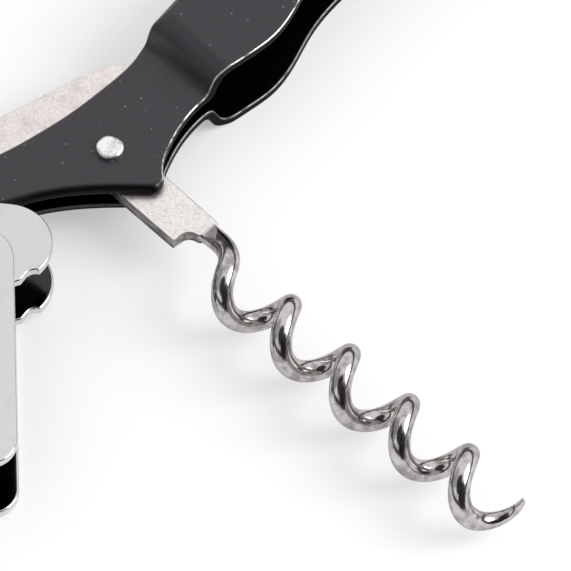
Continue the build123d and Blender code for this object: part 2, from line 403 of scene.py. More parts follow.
class Skin:
    """Grids of points that are joined into one closed mesh."""

    def __init__(self) -> None:
        """Starts with no points and no faces."""
        self.points: list[Array] = []
        self.quads: list[Numbers] = []
        self.rings: list[list[int]] = []
        self.marks: list[Array] = []
        self.count = 0

    def _add(self, points: Array, mark: Union[float, Array]) -> Numbers:
        """Stores points with their mark.

        Args:
            points: Points in any grid, three numbers each.
            mark: Value kept on them, one or one for each.

        Returns:
            The points' numbers, in the same grid.
        """
        flat = points.reshape(-1, 3)
        numbers = np.arange(self.count, self.count + len(flat)).reshape(points.shape[:-1])
        self.points.append(flat)
        self.marks.append(np.broadcast_to(mark, points.shape[:-1]).reshape(-1))
        self.count += len(flat)
        return numbers

    def grid(self, points: Array, mark: Union[float, Array] = 0.0) -> None:
        """Adds a grid of points as quads.

        Args:
            points: Rows by columns by three.
            mark: Value kept on these points for the finish, one or one for each.
        """
        number = self._add(points, mark)
        corners = [number[:-1, :-1], number[1:, :-1], number[1:, 1:], number[:-1, 1:]]
        self.quads.append(np.stack(corners, axis=-1).reshape(-1, 4))

    def ring(self, points: Array, mark: float = 0.0) -> None:
        """Adds one flat face inside a closed ring of points."""
        self.rings.append(self._add(points, mark).tolist())

    def mirrored(self, wear: float = 1.0) -> "Skin":
        """The same grids on the other side of the middle plane.

        Args:
            wear: Factor on the marks above nought, which on a folded sheet are worn edge lines that also
                paint a highlight.

        Returns:
            The other side.
        """
        other = Skin()
        other.points = [points * np.array([1.0, 1.0, -1.0]) for points in self.points]
        other.quads = list(self.quads)
        other.rings = list(self.rings)
        other.marks = [np.where(mark > 0, wear * mark, mark) for mark in self.marks]
        other.count = self.count
        return other

    def join(self, other: "Skin") -> None:
        """Takes in the grids of another skin.

        Args:
            other: The skin to take in.
        """
        self.points += other.points
        self.quads += [quads + self.count for quads in other.quads]
        self.rings += [[number + self.count for number in ring] for ring in other.rings]
        self.marks += other.marks
        self.count += other.count

    def piece(self, name: str, sharp_deg: float = 50.0) -> bpy.types.Object:
        """Merges the grids into one object placed in the part's frame.

        Args:
            name: Name of the object.
            sharp_deg: Angle past which an edge is kept sharp in shading.

        Returns:
            The new object, linked to the scene.
        """
        points = (np.vstack(self.points) + PIVOT) * MM
        mesh = new_mesh(name, points, np.vstack(self.quads).tolist() + self.rings)
        mark = mesh.attributes.new("mark", "FLOAT", "POINT")
        mark.data.foreach_set("value", np.concatenate(self.marks).astype(np.float32))
        work = bmesh.new()
        work.from_mesh(mesh)
        bmesh.ops.remove_doubles(work, verts=work.verts, dist=MERGE_DISTANCE)
        bmesh.ops.dissolve_degenerate(work, edges=work.edges, dist=MERGE_DISTANCE)
        bmesh.ops.recalc_face_normals(work, faces=work.faces)
        work.to_mesh(mesh)
        open_edges = sum(not edge.is_manifold for edge in work.edges)
        work.free()
        mesh.shade_smooth()
        mesh.set_sharp_from_angle(angle=np.radians(sharp_deg))
        if open_edges:
            LOG.warning("%s: %d open edges", name, open_edges)
        return placed(name, mesh)


def face_steps(support: float) -> Array:
    """Shares across a flat face, with a close row by each edge."""
    inner = np.linspace(support, 1 - support, FACE_ROWS)
    return np.concatenate([[0.0], inner, [1.0]])


@dataclass
class Sheet:
    """One wall of sheet metal between an outer and an inner height."""

    outline: Outline
    outer: Array
    inner: Array
    top_edge: EdgeShape
    bottom_edge: EdgeShape
    support: float = 0.02
    fade: int = 20

    def _at(self, edge: Array, inward: Array, inset: Array, height: Array) -> Array:
        """Points in from an edge at a height: edge + inset * inward normal."""
        flat = edge + np.reshape(inset, (-1, 1)) * inward
        return np.column_stack([flat, np.broadcast_to(height, len(flat))])

    def upper(self, inset: Union[float, Array], height: Array) -> Array:
        """Points in from the upper edge."""
        return self._at(self.outline.upper, self.outline.upper_in, inset, height)

    def lower(self, inset: Union[float, Array], height: Array) -> Array:
        """Points in from the lower edge."""
        return self._at(self.outline.lower, self.outline.lower_in, inset, height)

    def across(self, start: Array, stop: Array) -> list[Array]:
        """Rows from one line of points to another, each start + share * span."""
        return [start + share * (stop - start) for share in face_steps(self.support)]

    def top_rows(self, radius_shares: Array, side: int) -> list[Array]:
        """Rows round the top edge from one face to the flat of the edge.

        Args:
            radius_shares: Size of the edge's section at each station.
            side: 1 from the outer face, -1 from the inner face.

        Returns:
            Rows of points, from the face outwards.
        """
        face = self.outer if side > 0 else self.inner
        pairs = zip(self.top_edge.insets, self.top_edge.drops)
        return [self.upper(radius_shares * i, face - side * radius_shares * d) for i, d in pairs]

    def bottom_rows(self, radius_shares: Array, side: int) -> list[Array]:
        """Rows round the bottom edge from one face to the flat of the edge.

        The section fades into the top edge's at both ends of the piece, over
        a smooth share of the end stations.

        Args:
            radius_shares: Size of the edge's section at each station.
            side: 1 from the outer face, -1 from the inner face.

        Returns:
            Rows of points, from the face outwards.
        """
        face = self.outer if side > 0 else self.inner
        count = len(face)
        share = smooth(np.minimum(np.arange(count), np.arange(count)[::-1]), 0, self.fade)
        top, low = self.top_edge, self.bottom_edge
        insets = (top.insets + share[:, None] * (low.insets - top.insets)) * radius_shares[:, None]
        drops = (top.drops + share[:, None] * (low.drops - top.drops)) * radius_shares[:, None]
        return [self.lower(i, face - side * d) for i, d in zip(insets.T, drops.T)]

    def plate(self, mark: float = 0.0, edge_mark: float = 0.0) -> Skin:
        """Closed plate: the section's loop carried along the stations.

        Args:
            mark: Value kept on the faces.
            edge_mark: Value kept on the edges.

        Returns:
            The plate's grid.
        """
        even = np.ones(len(self.outer))
        top_out, top_in = self.top_rows(even, 1), self.top_rows(even, -1)
        low_out, low_in = self.bottom_rows(even, 1), self.bottom_rows(even, -1)
        out = low_out[::-1] + self.across(low_out[0], top_out[0])[1:-1] + top_out
        back = top_in[::-1] + self.across(top_in[0], low_in[0])[1:-1] + low_in
        marks = np.full(len(out) + len(back) + 1, mark)
        edge = len(top_out)
        marks[:edge] = marks[len(out) - edge : len(out) + edge] = marks[-edge - 1 :] = edge_mark
        skin = Skin()
        skin.grid(np.stack(out + back + out[:1]), marks[:, None])
        return skin


@dataclass
class FoldedSheet(Sheet):
    """Two like walls joined by a fold along part of their upper edge."""

    fold: tuple[int, int] = (0, 0)
    sheet: float = 1.2
    fold_shares: Array = field(default_factory=lambda: np.ones(1))
    low_shares: Array = field(default_factory=lambda: np.ones(1))
    # Thin edge lines: worn metal whose brightness also paints a highlight
    outer_wear_and_highlight: Array = field(default_factory=lambda: np.zeros(1))
    inner_wear_and_highlight: Array = field(default_factory=lambda: np.zeros(1))
    # Mark of the inside faces, which the finish darkens as painted shade
    painted_shade_mark: float = 0.0
    # Share of these lines on the far wall, a dimmer painted highlight
    far_wear_and_highlight: float = 0.45
    line_place: float = 0.45
    line_fall: float = 3.0
    # Painted shade on the flat of a bottom edge and on a rolled corner: its share and where it starts
    edge_flat_shade_share: float = 0.85
    edge_flat_shade_from: float = 0.9
    rolled_painted_shade: Span = (-0.15, 0.35)
    rolled_shares: Span = (1.0, 3.0)

    def _lip_rows(self) -> list[Array]:
        """Rows down the inside of an open edge, to where a fold would meet it."""
        rows = self.top_rows(np.ones(len(self.outer)), -1)
        return rows[::-1] + self.across(rows[0], self.upper(self.sheet, self.inner))[1:]

    def _edge_marks(self, wear: Array, roll: Array) -> Array:
        """Marks round a bottom edge, from its face: a thin worn line that also paints a highlight, and a flat
        with painted shade.

        The line's mark falls off evenly either side of the corner. A rolled
        corner gets painted shade smoothly from its face on.

        Args:
            wear: Strength of the worn line, which also paints a highlight, at each station.
            roll: Share of a rolled corner at each station.

        Returns:
            One mark for each row and station.
        """
        rim = np.linspace(0.0, 1.0, EDGE_STEPS + 1)[:, None]
        line = wear * np.clip(1 - np.abs(rim - self.line_place) * self.line_fall, 0, 1)
        # Painted shade on the edge's flat and on a rolled corner
        dark = np.maximum(smooth(rim, *self.rolled_painted_shade) * roll, rim > self.edge_flat_shade_from)
        return line + self.edge_flat_shade_share * self.painted_shade_mark * dark

    def _wall(self) -> Skin:
        """Front wall, left open where the fold joins it.

        Returns:
            Grids of the outside, the inside and the open lips.
        """
        first, last = self.fold
        even = np.ones(len(self.outer))
        low_out = self.bottom_rows(self.low_shares * even, 1)
        low_in = self.bottom_rows(even, -1)
        top_out = self.top_rows(self.fold_shares, 1)
        under_fold = self.upper(self.sheet, self.inner)
        skin = Skin()
        face = self.across(low_out[0], top_out[0])[1:-1]
        marks = np.zeros((2 * EDGE_STEPS + 2 + len(face), len(even)))
        roll = smooth(self.low_shares, *self.rolled_shares)
        # Outer edge: worn line with painted highlight, painted shade on its flat and rolled corner
        marks[EDGE_STEPS::-1] = self._edge_marks(self.outer_wear_and_highlight, roll)
        skin.grid(np.stack(low_out[::-1] + face + top_out), marks)
        inside = self.across(under_fold, low_in[0])
        # Inside faces marked for painted shade; the inner edge line has painted highlight
        marks = np.full((len(inside) + EDGE_STEPS + 1, len(even)), self.painted_shade_mark)
        marks[len(inside) : -1] = self._edge_marks(self.inner_wear_and_highlight, 0.0 * even)[1:]
        # Painted shade on the inner edge's flat
        marks[-1] = self.edge_flat_shade_share * self.painted_shade_mark
        skin.grid(np.stack(inside + low_in[1:] + low_out[-1:]), marks)
        lip = np.stack(top_out[-1:] + self._lip_rows())
        # Inside of the open lips marked for painted shade
        marks = np.full(len(lip), self.painted_shade_mark)
        marks[: EDGE_STEPS + 1] = 0.0
        for part in (lip[:, : first + 1], lip[:, last:]):
            if part.shape[1] > 1:
                skin.grid(part, marks[:, None])
        return skin

    def _fold_columns(self) -> Array:
        """Shares across the fold at each station, one where each wall's flat ends.

        Returns:
            One row for each column of the fold.
        """
        ends = list(self.fold)
        start = self.outer[ends] - self.fold_shares[ends] * self.top_edge.drops[-1]
        stop = self.inner[ends] + self.top_edge.drops[-1]
        edge = np.interp(np.arange(len(self.outer)), ends, (start - stop) / (2 * start))
        middle = edge + np.linspace(0.0, 1.0, FOLD_COLUMNS)[:, None] * (1 - 2 * edge)
        return np.vstack([np.zeros_like(edge), middle, np.ones_like(edge)])

    def folded(self) -> Skin:
        """Both walls, the fold between them and the cut ends of the fold.

        Returns:
            The whole folded sheet.
        """
        first, last = self.fold
        skin = self._wall()
        skin.join(skin.mirrored(self.far_wear_and_highlight))
        flip = np.array([1.0, 1.0, -1.0])
        outside = self.top_rows(self.fold_shares, 1)[-1]
        inside = self.upper(self.sheet, self.inner)
        over = outside + self._fold_columns()[:, :, None] * (outside * flip - outside)
        shares = np.linspace(0.0, 1.0, FOLD_COLUMNS)[:, None, None]
        below = inside + shares * (inside * flip - inside)
        skin.grid(over[:, first : last + 1])
        # Underside of the fold marked for painted shade
        skin.grid(below[:, first : last + 1], self.painted_shade_mark)
        side = np.stack(self._lip_rows())
        for station in (first, last):
            front = side[1:-1, station]
            loop = [over[1:-1, station], front * flip, below[::-1, station], front[::-1]]
            # Cut ends of the fold marked for painted shade
            skin.ring(np.vstack(loop), self.painted_shade_mark)
        return skin


# Pieces


class Piece:
    """A piece that takes the place of one solid."""

    name: str
    node: str
    body: Body
    slot: Slot

    def build(self) -> bpy.types.Object:
        """Builds the piece's mesh, in its place."""
        raise NotImplementedError

    def dress(self, piece: bpy.types.Object, finishes: dict[Slot, bpy.types.Material]) -> None:
        """Gives the piece its finish and sets it in place of its solid.

        Args:
            piece: The piece as built.
            finishes: Material of each slot.
        """
        piece.data.materials.append(finishes[self.slot])
        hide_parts(self.node)
        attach(piece, self.body.value)


@dataclass(frozen=True)
class KeptSolid:
    """A solid that is shown as it is, with a finish of its own."""

    node: str
    slot: Slot

    def dress(self, finishes: dict[Slot, bpy.types.Material]) -> None:
        """Gives the solid its finish.

        Args:
            finishes: Material of each slot.
        """
        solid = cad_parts[self.node]
        solid.data.materials.clear()
        solid.data.materials.append(finishes[self.slot])


@dataclass
class HandleChannel(Piece):
    """Black sheet-steel handle: channel grip, ramps, pinched neck and ears."""

    name: str = "handle_sheet"
    node: str = "handle_channel"
    body: Body = Body.HANDLE
    slot: Slot = Slot.COATING
    sheet: float = 1.2
    grip_half: float = 6.0
    neck_half: float = 2.3
    edge_radius: float = 0.28
    fold_radius: float = 2.0
    rolled_radius: float = 0.9
    fold_start: float = 14.0
    fold_full: float = 17.6
    end_ease: float = 1.6
    top_roll: Span = (0.2, 3.0)
    heel_roll: Span = (0.7, 1.9)
    heel_radius: float = 1.5
    heel_span: Span = (-8.0, 10.0)
    # Painted glint at the tip of the heel: its centre and width
    heel_glint: Span = (0.75, 0.3)
    # Worn edge lines with painted highlight: where they start on the grip, and the inner line's least
    # strength
    worn_and_highlight_from: Span = (1.0, 2.2)
    least_wear_and_highlight: float = 0.5
    ramp: tuple[Place, ...] = ((13.9, 0.0), (15.2, 0.78), (17.2, 1.0))
    ramp_radii: tuple[float, ...] = (1.2, 2.4, 2.4)
    far_end: float = 78.0
    near_end: float = -31.0
    far_round: float = 2.0
    near_round: float = 4.0
    round_points: int = 24
    bands: tuple[Band, ...] = (
        (-27.0, -11.0, 60),
        (-11.0, 10.0, 90),
        (10.0, 13.0, 12),
        (13.0, 14.0, 12),
        (14.0, 18.4, 64),
        (18.4, 74.0, 100),
        (74.0, 76.0, 12),
    )
    ears: tuple[Disc, ...] = ((*LEVER_PIVOT, 5.0), (*KNIFE_PIVOT, 4.496), (-15.99, 7.349, 4.6))
    spine: tuple[Place, ...] = (
        (75.036, 7.656), (70.2, 10.208), (60.06, 11.426), (45.24, 11.6), (28.08, 10.614),
        (14.976, 8.642), (9.984, 7.7256), (5.382, 7.54), (0.702, 7.6096), (-3.978, 8.0852),
        (-10.92, 9.4192), (-15.99, 11.368),
    )
    skirt: tuple[Place, ...] = (
        (74.49, -2.43), (67.86, -1.575), (56.94, 0.63), (44.07, 1.17), (33.54, -0.405),
        (28.47, -2.385), (23.79, -3.465), (20.28, -3.33), (17.16, -2.997), (14.586, -2.547),
        (11.856, -2.637), (8.58, -3.366), (5.694, -4.5), (3.198, -5.976), (0.897, -9.0),
    )
    under_neck: tuple[Place, ...] = ((0.897, -9.0), (-2.73, -5.31), (-10.53, 0.81), (-15.99, 3.33))
    grip_end: Place = (78.0, 3.132)
    curve_points: int = 2000
    under_points: int = 1000
    end_points: int = 400

    def stations(self) -> Array:
        """Stations along X, close together at the ends, the heel and the ramps.

        Returns:
            The stations in order.
        """
        turn = np.linspace(0, np.pi / 2, self.round_points)
        near = self.near_end + self.near_round * (1 - np.cos(turn))
        far = self.far_end - self.far_round * (1 - np.sin(turn))
        return joined(near, *(np.linspace(*band) for band in self.bands), far)

    def outline(self, x: Array) -> Outline:
        """Side view: the spine over the skirt, widened by the ears.

        Args:
            x: Stations.

        Returns:
            The outline, with its heel rounded.
        """
        end = arc_through(self.skirt[0], self.grip_end, self.spine[0], self.end_points)
        tip = int(np.argmax(end[:, 0]))
        ear_top, ear_bottom = band_levels(disc_hull(self.ears), x)
        spine = level_at(natural_spline(self.spine, self.curve_points), x, -np.inf)
        skirt = level_at(natural_spline(self.skirt, self.curve_points), x, np.inf)
        under = level_at(natural_spline(self.under_neck, self.under_points), x, np.inf)
        end_top = level_at(end[tip:], x, -np.inf)
        end_bottom = level_at(end[: tip + 1], x, np.inf)
        top = np.max([spine, ear_top, end_top], axis=0)
        bottom = np.min([skirt, under, ear_bottom, end_bottom], axis=0)
        top[-1] = bottom[-1] = self.grip_end[1]
        top[0] = bottom[0] = self.ears[0][1]
        near_heel = (x > self.heel_span[0]) & (x < self.heel_span[1])
        bottom[near_heel] = rolled_floor(x, bottom, self.heel_radius)[near_heel]
        return Outline.over(x, top, bottom)

    def half_width(self, x: Array, set_in: float) -> Array:
        """Height of a wall face from the middle plane, along the neck, ramp and grip.

        Args:
            x: Stations.
            set_in: Depth of the face under the outer one, square to it.

        Returns:
            One height for each station.
        """
        places, shares = np.array(self.ramp).T
        heights = self.neck_half + (self.grip_half - self.neck_half) * shares
        ends = [[self.near_end, self.neck_half], [self.far_end, self.grip_half]]
        line = np.insert(np.array(ends), 1, np.stack([places, heights], axis=1), axis=0)
        line = rounded_line(set_in_line(line, set_in), np.array(self.ramp_radii))
        return np.interp(x, line[:, 0], line[:, 1])

    def build(self) -> bpy.types.Object:
        """Builds the handle as one closed mesh.

        Its edges carry worn lines that also paint a highlight along the grip, and a
        painted glint at the tip of the heel, which falls off as exp(-d^2).

        Returns:
            The new piece.
        """
        x = self.stations()
        rolled = self.rolled_radius / self.edge_radius - 1
        folded = self.fold_radius / self.edge_radius - 1
        fold = smooth(x, self.fold_start, self.fold_full)
        fold *= smooth(-x, -self.far_end, self.end_ease - self.far_end)
        roll = smooth(-x, *(reach - self.fold_start for reach in self.top_roll))
        # Worn edge lines with painted highlight along the grip
        worn = smooth(x, *self.worn_and_highlight_from)
        # Painted glint at the heel's tip
        heel, width = self.heel_glint
        sheet = FoldedSheet(
            outline=self.outline(x),
            outer=self.half_width(x, 0.0),
            inner=self.half_width(x, self.sheet),
            top_edge=EdgeShape.rounded(self.edge_radius),
            bottom_edge=EdgeShape.rounded(self.edge_radius),
            fold=(int(np.argmin(np.abs(x - self.fold_start))), len(x) - 1),
            sheet=self.sheet,
            fold_shares=1 + folded * fold + rolled * roll,
            low_shares=1 + rolled * smooth(-x, -self.heel_roll[1], -self.heel_roll[0]),
            outer_wear_and_highlight=np.maximum(worn, np.exp(-(((x - heel) / width) ** 2))),
            inner_wear_and_highlight=self.least_wear_and_highlight + (1 - self.least_wear_and_highlight) * worn,
            # Inside faces get painted shade
            painted_shade_mark=-1.0,
        )
        return sheet.folded().piece(self.name)


@dataclass
class Worm(Piece):
    """Wire worm with a flattened tang."""

    name: str = "worm_screw"
    node: str = "worm"
    body: Body = Body.WORM
    slot: Slot = Slot.WIRE
    wire_radius: float = 1.325
    helix_radius: float = 2.85
    pitch: float = 10.04
    helix_start: float = 20.2
    offset: float = 2.25
    lean: float = 0.06
    first_turn: float = 0.25
    lead_start: float = 14.8
    lead_side: float = 1.1
    flat_start: float = 15.9
    flat_run: float = 3.0
    flat_gap: float = 0.05
    tip_start: float = 4.75
    tip_turns: float = 0.30
    tip_rise: float = 0.9
    tip_radius: float = 0.24
    taper_turns: float = 0.44
    cap_turns: float = 0.010
    tang_radius: float = 2.8
    tang_length: float = 14.1
    tang_side: float = 2.9
    tang_fillet: float = 1.5
    tang_shoulder: Place = (2.52, -15.5)
    tang_foot: float = 17.0
    foot_gap: float = 0.25
    tang_half: float = 0.85
    tang_edge: float = 0.13
    edge_steps: int = 3
    flat_mark: float = 1.0
    sheared_mark: float = 2.0
    inset_shares: tuple[float, ...] = (0.12, 0.5, 1.0)
    left_shares: tuple[float, ...] = (0.0, 0.2, 0.83, 1.0)
    left_points: tuple[int, int, int] = (24, 20, 14)
    right_bands: tuple[Band, ...] = ((0.0, 0.2, 60), (0.2, 0.9, 40), (0.9, 1.0, 40))
    lead_points: int = 70
    turn_points: int = 420
    cap_points: int = 8
    section_points: int = 49

    def helix(self, turn: Array) -> tuple[Array, Array]:
        """Centre line and direction: a circle in X and Z carried along -Y.

        The line leans a little along X, and its tip rises as the square of
        its share of the last turn.

        Args:
            turn: Numbers of turns from the start.

        Returns:
            Points on the line and its directions.
        """
        angle = 2 * np.pi * turn
        radius, pitch = self.helix_radius, self.pitch
        share = np.clip(turn - self.tip_start, 0, None) / self.tip_turns
        climb = 2 * self.tip_rise * share / self.tip_turns
        place = [
            radius * np.cos(angle) - self.offset + self.lean * turn,
            self.tip_rise * share**2 - self.helix_start - pitch * turn,
        ]
        way = [self.lean / (2 * np.pi) - radius * np.sin(angle), (climb - pitch) / (2 * np.pi)]
        return (
            np.stack([*place, radius * np.sin(angle)], axis=1),
            np.stack([*way, radius * np.cos(angle)], axis=1),
        )

    def lead(self) -> Array:
        """Smooth run from the tang into the helix: a cubic with its ends' directions.

        Returns:
            Points on the run, without its last one.
        """
        stop, stop_way = self.helix(np.array([self.first_turn]))
        start = np.array([[self.lead_side, -self.lead_start, 0.0]])
        span = np.linalg.norm(stop - start)
        start_way = np.array([[0.0, -1.0, 0.0]]) * span
        stop_way = unit(stop_way) * span
        t = np.linspace(0, 1, self.lead_points, endpoint=False)[:, None]
        return (
            (2 * t**3 - 3 * t**2 + 1) * start
            + (t**3 - 2 * t**2 + t) * start_way
            + (3 * t**2 - 2 * t**3) * stop
            + (t**3 - t**2) * stop_way
        )

    def wire(self) -> Skin:
        """Round section carried along the lead and the helix, drawn out at the tip.

        By the tang the section is cut flat at a height that grows from just
        under the tang's face to the whole wire.

        Returns:
            The closed wire.
        """
        end = self.tip_start + self.tip_turns
        close = end - self.cap_turns * (1 - np.sin(np.linspace(0, np.pi / 2, self.cap_points)))
        turn = np.linspace(self.first_turn, close[0], self.turn_points, endpoint=False)
        turn = np.concatenate([turn, close])
        path = np.vstack([self.lead(), self.helix(turn)[0]])
        way = unit(np.gradient(path, axis=0))
        out = path * np.array([1.0, 0.0, 1.0]) + np.array([self.offset, 0.0, 0.0])
        out = unit(out - np.sum(out * way, axis=1)[:, None] * way)
        side = np.cross(way, out)
        left = np.clip((end - turn) / self.taper_turns, 0, 1)
        cap = np.clip(1 - (end - turn) / self.cap_turns, 0, 1)
        shrink = (self.tip_radius + (self.wire_radius - self.tip_radius) * left) * np.sqrt(1 - cap**2)
        radius = np.concatenate([np.full(self.lead_points, self.wire_radius), shrink])
        thin = self.tang_half - self.flat_gap
        swell = smooth(-path[:, 1], self.flat_start, self.flat_start + self.flat_run)
        high = np.where(swell < 1, thin + (self.wire_radius - thin) * swell, np.inf)
        around = np.linspace(0, 2 * np.pi, self.section_points)[:, None]
        rise = np.sin(around) * radius
        ring = (np.cos(around) * radius)[:, :, None] * out + np.clip(rise, -high, high)[:, :, None] * side
        skin = Skin()
        skin.grid(path + ring, self.flat_mark * (np.abs(rise) > high))
        skin.ring((path + ring)[:-1, 0])
        return skin

    def _left_side(self) -> tuple[Array, Array]:
        """Left side of the tang: round the eye, down, in and by a fillet to the wire.

        Returns:
            Points on the side and their shares of its length.
        """
        eye_points, side_points, bend_points = self.left_points
        wire = self.lead_side - self.wire_radius
        eye = self.tang_radius * circle(np.linspace(np.pi / 2, np.pi, eye_points))
        corner = np.array([-self.tang_side, -self.tang_length])
        inset = np.array([wire - self.tang_fillet, -self.tang_length])
        centre = inset - np.array([0.0, self.tang_fillet])
        bend = centre + self.tang_fillet * circle(np.linspace(np.pi / 2, 0, bend_points)[1:])
        side = between(eye[-1], corner, np.linspace(0, 1, side_points)[1:])
        shoulder = between(corner, inset, np.array(self.inset_shares))
        line = np.vstack([eye, side, shoulder, bend, [wire + self.foot_gap, -self.tang_foot]])
        place = chord_lengths(line)
        corners = [0, len(eye) - 1, len(eye) + len(side) - 1, -1]
        return line, np.interp(place, place[corners], self.left_shares)

    def _right_side(self, share: Array) -> Array:
        """Right side of the tang: round the eye, to the shoulder and in to the wire.

        Args:
            share: Shares of its length.

        Returns:
            Points on the side at these shares.
        """
        eye_points, upper_points, lower_points = (band[2] for band in self.right_bands)
        side = np.array([self.tang_radius, 0.0])
        shoulder = np.array(self.tang_shoulder)
        foot = np.array([self.lead_side + self.wire_radius - self.foot_gap, -self.tang_foot])
        line = np.vstack(
            [
                self.tang_radius * circle(np.linspace(np.pi / 2, 0, eye_points)),
                between(side, shoulder, np.linspace(0, 1, upper_points)[1:]),
                between(shoulder, foot, np.linspace(0, 1, lower_points)[1:]),
            ]
        )
        along = np.concatenate([[0.0], *(np.linspace(*band)[1:] for band in self.right_bands)])
        return np.stack([np.interp(share, along, column) for column in line.T], axis=1)

    def tang(self) -> Skin:
        """Flat tang: its two sides paired along its length, round at the eye.

        Returns:
            The closed tang.
        """
        left, share = self._left_side()
        right = self._right_side(share)
        left[-1] = right[-1] = (left[-1] + right[-1]) / 2
        height = np.full(len(left), self.tang_half)
        edge = EdgeShape.rounded(self.tang_edge, self.edge_steps)
        sheet = Sheet(Outline(right[::-1], left[::-1]), height, -height, edge, edge)
        return sheet.plate(self.flat_mark, self.sheared_mark)

    def build(self) -> bpy.types.Object:
        """Builds the worm and its tang as one piece.

        Returns:
            The new piece.
        """
        skin = self.wire()
        skin.join(self.tang())
        return skin.piece(self.name)


@dataclass
class Rivet(Piece):
    """Rivet with a peened head on each side, turned about its axis."""

    name: str
    node: str
    place: Place
    shank: float
    head: float
    seat: float
    height: float
    body: Body = Body.HANDLE
    slot: Slot = Slot.RIVET
    rim_share: float = 0.6
    undercut: float = 0.88
    dome_share: float = 0.97
    dome_power: float = 0.55
    unevenness: float = 0.11
    waves: tuple[tuple[float, int, float], ...] = ((0.7, 2, 0.4), (1.0, 3, 1.1), (0.8, 5, 0.0))
    wave_mean: float = 0.5
    wave_share: float = 0.22
    hammered_side: float = -1.25
    hammered_span: Span = (-0.20, 0.15)
    sharp_deg: float = 40.0
    dome_points: int = 9
    around_points: int = 65

    def profile(self) -> tuple[Array, Array]:
        """Radii and heights from the front dome's top to the back one's.

        A dome's radius falls as a power of cos(a), and its height rises as sin(a).

        Returns:
            Radii and heights.
        """
        turn = np.linspace(0, np.pi / 2, self.dome_points)[1:] * self.dome_share
        rim = self.rim_share * self.height
        radius = self.head / 2
        dome = radius * np.cos(turn) ** self.dome_power
        rise = rim + (self.height - rim) * np.sin(turn)
        upper_r = np.concatenate([[self.shank / 2, radius * self.undercut, radius], dome, [0.0]])
        upper_z = np.concatenate([[0.0, 0.0, rim], rise, [self.height]]) + self.seat
        return np.concatenate([upper_r[::-1], upper_r]), np.concatenate([upper_z[::-1], -upper_z])

    def build(self) -> bpy.types.Object:
        """Turns the profile through a full circle, its radius uneven by a few sine waves.

        Returns:
            The new piece.
        """
        radii, heights = self.profile()
        around = np.linspace(0, 2 * np.pi, self.around_points)
        wave = sum(weight * np.sin(count * around + phase) for weight, count, phase in self.waves)
        flat = radii[:, None] * (1 - self.unevenness * (self.wave_mean + self.wave_share * wave))
        rows = [flat * np.cos(around), flat * np.sin(around), np.broadcast_to(heights[:, None], flat.shape)]
        lean = flat * np.cos(around - self.hammered_side) / (self.head / 2)
        skin = Skin()
        skin.grid(np.stack(rows, axis=-1) + np.array([*self.place, 0.0]), smooth(lean, *self.hammered_span))
        return skin.piece(self.name, self.sharp_deg)


@dataclass
class LeverLink(Piece):
    """Folded chrome link: two plates with a web along their lower edge."""

    name: str
    node: str
    body: Body
    pivot: Place
    angle: float
    discs: tuple[Disc, ...]
    notch: Disc
    web: Span
    half: float
    slot: Slot = Slot.LEVER
    sheet: float = 1.2
    edge_radius: float = 0.25
    web_radius: float = 1.1
    web_ease: float = 1.2
    length_points: int = 120
    web_points: int = 40

    def outline(self) -> Outline:
        """Side view lying level, upside down: a band round the discs, less the notch.

        Returns:
            The outline, with a station at each end of the web.
        """
        hull = disc_hull(self.discs)
        start, stop = hull[:, 0].min(), hull[:, 0].max()
        x = joined(eased_steps(start, stop, self.length_points), np.linspace(*self.web, self.web_points))
        top, bottom = band_levels(hull, np.clip(x, start, stop))
        middle, level, radius = self.notch
        bite = level + np.sqrt(np.clip(radius**2 - (x - middle) ** 2, 0, None))
        bottom = np.where(x > middle - radius, np.maximum(bottom, bite), bottom)
        return Outline.over(x, -np.minimum(bottom, top), -top)

    def build(self) -> bpy.types.Object:
        """Builds the link lying level, then turns it over and to its place.

        Returns:
            The new piece.
        """
        outline = self.outline()
        x = outline.upper[:, 0]
        ease = np.clip((x - self.web[0]) / self.web_ease, 0, 1)
        ease *= np.clip((self.web[1] - x) / self.web_ease, 0, 1)
        even = np.ones(len(x))
        sheet = FoldedSheet(
            outline=outline,
            outer=even * self.half,
            inner=even * (self.half - self.sheet),
            top_edge=EdgeShape.rounded(self.edge_radius),
            bottom_edge=EdgeShape.rounded(self.edge_radius),
            fold=tuple(int(np.argmin(np.abs(x - end))) for end in self.web),
            sheet=self.sheet,
            fold_shares=1 + (self.web_radius / self.edge_radius - 1) * ease,
            # The channel's inside gets painted shade
            painted_shade_mark=-1.0,
        )
        skin = sheet.folded()
        cos, sin = circle(np.radians([self.angle]))[0]
        turn = np.array([[cos, sin, 0.0], [sin, -cos, 0.0], [0.0, 0.0, 1.0]])
        skin.points = [points @ turn + np.array([*self.pivot, 0.0]) for points in skin.points]
        return skin.piece(self.name)


